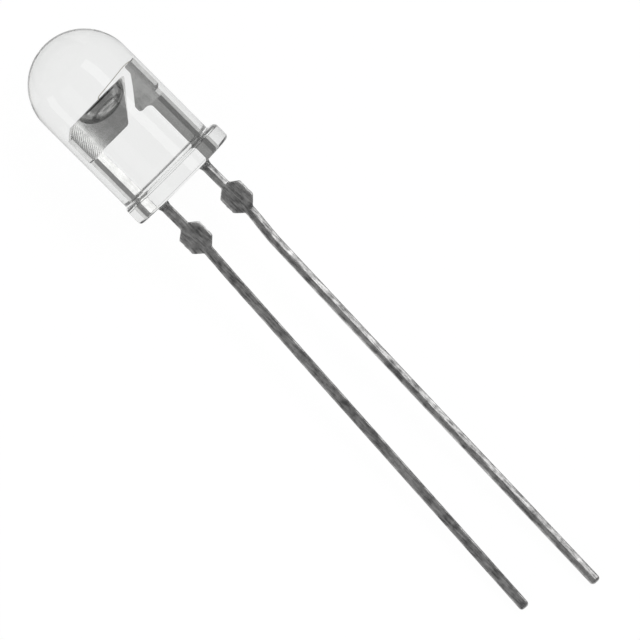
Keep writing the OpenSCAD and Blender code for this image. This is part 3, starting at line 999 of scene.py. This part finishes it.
def makeFloorFinish(floorZ):
    material = bpy.data.materials.new("paleFloor")
    material.use_nodes = True
    tree = material.node_tree
    shader = tree.nodes["Principled BSDF"]
    shader.inputs["Roughness"].default_value = stage["floorRough"]
    shader.inputs["Specular IOR Level"].default_value = 0.0
    tone = stage["floorTone"]
    shader.inputs["Base Color"].default_value = (tone, tone, tone, 1)
    # in the metal and through the resin the floor's glow is a painted pool of light: brightest
    # under the lens and fading away from it, by the sine of the angle that each spot has below the
    # lens's middle, and more slowly under the leads
    middle = partToRow @ Vector((0, 0, lens["height"] / 2))
    glow = tree.nodes.new("ShaderNodeEmission")
    rays = tree.nodes.new("ShaderNodeLightPath")
    spot = tree.nodes.new("ShaderNodeNewGeometry")
    offset = tree.nodes.new("ShaderNodeVectorMath")
    offset.operation = "SUBTRACT"
    offset.inputs[1].default_value = middle
    tree.links.new(spot.outputs["Position"], offset.inputs[0])
    parts = tree.nodes.new("ShaderNodeSeparateXYZ")
    tree.links.new(offset.outputs["Vector"], parts.inputs["Vector"])
    along = mathNode(tree, "MAXIMUM", parts.outputs["X"],
                     mathNode(tree, "MULTIPLY", parts.outputs["X"], stage["leadShare"]))
    squares = [mathNode(tree, "MULTIPLY", value, value)
               for value in (along, parts.outputs["Y"], parts.outputs["Z"])]
    total = mathNode(tree, "ADD", mathNode(tree, "ADD", squares[0], squares[1]), squares[2])
    sine = mathNode(tree, "DIVIDE", middle.z - floorZ, mathNode(tree, "SQRT", total))
    pooledGlow = rangeNode(tree, sine, *stage["paperSines"], stage["paperFar"], stage["paperGlow"])
    direct = mathNode(tree, "MULTIPLY", rays.outputs["Is Camera Ray"],
                      mathNode(tree, "SUBTRACT", stage["floorGlow"], pooledGlow))
    tree.links.new(mathNode(tree, "ADD", pooledGlow, direct), glow.inputs["Strength"])
    seen = mathNode(tree, "MAXIMUM", rays.outputs["Is Camera Ray"],
                    mathNode(tree, "MAXIMUM", rays.outputs["Is Glossy Ray"],
                             rays.outputs["Is Transmission Ray"]))
    lit = tree.nodes.new("ShaderNodeAddShader")
    tree.links.new(shader.outputs["BSDF"], lit.inputs[0])
    tree.links.new(glow.outputs["Emission"], lit.inputs[1])
    pick = tree.nodes.new("ShaderNodeMixShader")
    bounce = stage["bounceTone"]
    plain = addNode(tree, "ShaderNodeBsdfDiffuse", Color=(bounce, bounce, bounce, 1))
    tree.links.new(seen, pick.inputs["Fac"])
    tree.links.new(plain.outputs["BSDF"], pick.inputs[1])
    tree.links.new(lit.outputs["Shader"], pick.inputs[2])
    tree.links.new(pick.outputs["Shader"], tree.nodes["Material Output"].inputs["Surface"])
    return material


def makeFloor():
    low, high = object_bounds()
    half = stage["floorSize"] / 2
    corners = [(-half, -half, low.z), (half, -half, low.z), (half, half, low.z),
               (-half, half, low.z)]
    mesh = newMesh("floor", corners, [(0, 1, 2, 3)])
    mesh.materials.append(makeFloorFinish(low.z))
    floor = addObject("floor", mesh)


def makeWorld():
    # a pale room low down and a darker ceiling; the camera itself sees white past the floor
    world = bpy.data.worlds.new("studioRoom")
    bpy.context.scene.world = world
    world.use_nodes = True
    tree = world.node_tree
    room = tree.nodes["Background"]
    way = tree.nodes.new("ShaderNodeTexCoord")
    parts = tree.nodes.new("ShaderNodeSeparateXYZ")
    tree.links.new(way.outputs["Generated"], parts.inputs["Vector"])
    ramp = tree.nodes.new("ShaderNodeValToRGB")
    stops = stage["roomTones"]
    ramp.color_ramp.elements[0].position = stops[0][0]
    ramp.color_ramp.elements[1].position = stops[-1][0]
    for position, _ in stops[1:-1]:
        ramp.color_ramp.elements.new(position)
    for element, (_, level) in zip(ramp.color_ramp.elements, stops):
        element.color = (level, level, level, 1)
    tree.links.new(parts.outputs["Z"], ramp.inputs["Fac"])
    tree.links.new(ramp.outputs["Color"], room.inputs["Color"])
    white = addNode(tree, "ShaderNodeBackground", Color=(1, 1, 1, 1), Strength=1.0)
    rays = tree.nodes.new("ShaderNodeLightPath")
    pick = tree.nodes.new("ShaderNodeMixShader")
    tree.links.new(rays.outputs["Is Camera Ray"], pick.inputs["Fac"])
    tree.links.new(room.outputs["Background"], pick.inputs[1])
    tree.links.new(white.outputs["Background"], pick.inputs[2])
    tree.links.new(pick.outputs["Shader"], tree.nodes["World Output"].inputs["Surface"])


makeFloor()
makeWorld()

# Lamps: each lies in a direction seen from the lens, in degrees right of the camera's axis and
# up towards the dome.
lampAim = (0.0, 0.0, 3.0)
lamps = {
    "softBox": {"right": 36, "up": 8, "distance": 0.7, "wide": 0.26, "high": 0.7, "glow": 1.12},
    "fillBox": {"right": -36, "up": 0, "distance": 0.9, "wide": 0.5, "high": 0.9, "glow": 0.27},
    "sideBox": {"right": -84, "up": 0, "distance": 0.9, "wide": 0.5, "high": 0.9, "glow": 0.8},
}


def makeLamps():
    aim = partToRow @ Vector(lampAim)
    for name, values in lamps.items():
        right, up = math.radians(values["right"]), math.radians(values["up"])
        way = Vector((math.sin(right) * math.cos(up), -math.cos(right) * math.cos(up),
                      math.sin(up)))
        way = (turn.to_3x3() @ way).normalized()
        data = bpy.data.lights.new(name, "AREA")
        data.shape = "RECTANGLE"
        data.size, data.size_y = values["wide"], values["high"]
        data.energy = values["glow"] * math.pi * values["wide"] * values["high"]
        lamp = addObject(name, data)
        along = turn.to_3x3() @ Vector((0, 0, 1))
        across = along.cross(way).normalized()
        along = way.cross(across)
        lamp.matrix_world = (Matrix.Translation(aim + way * values["distance"])
                             @ Matrix((across, along, way)).transposed().to_4x4())


makeLamps()
print("stage and lamps made")

# Camera: it looks at the part's front with the optical axis on the picture's diagonal.
camera = {"lens": 1500.0, "sensor": 36.0, "viewMm": 28.21, "aim": (0.0265, 0.0, -8.575),
          "raise": 2.5, "near": 0.1, "far": 50}


def makeCamera():
    data = bpy.data.cameras.new("camera")
    data.lens = camera["lens"]
    data.sensor_width = camera["sensor"]
    distance = camera["viewMm"] * 0.001 * data.lens / data.sensor_width
    data.clip_start, data.clip_end = distance * camera["near"], distance * camera["far"]
    lift = math.radians(camera["raise"])
    upWay = Vector((0, math.sin(lift), math.cos(lift)))
    rightWay = Vector((1, 0, 0))
    back = rightWay.cross(upWay)
    axes = [(rightWay - upWay).normalized(), (rightWay + upWay).normalized(), back]
    axes = [turn.to_3x3() @ a for a in axes]
    aim = partToRow @ Vector(camera["aim"])
    cameraObject = addObject("camera", data)
    cameraObject.matrix_world = (Matrix.Translation(aim + axes[2] * distance)
                                 @ Matrix(axes).transposed().to_4x4())
    bpy.context.scene.camera = cameraObject


makeCamera()
bpy.context.scene.view_settings.view_transform = "Standard"
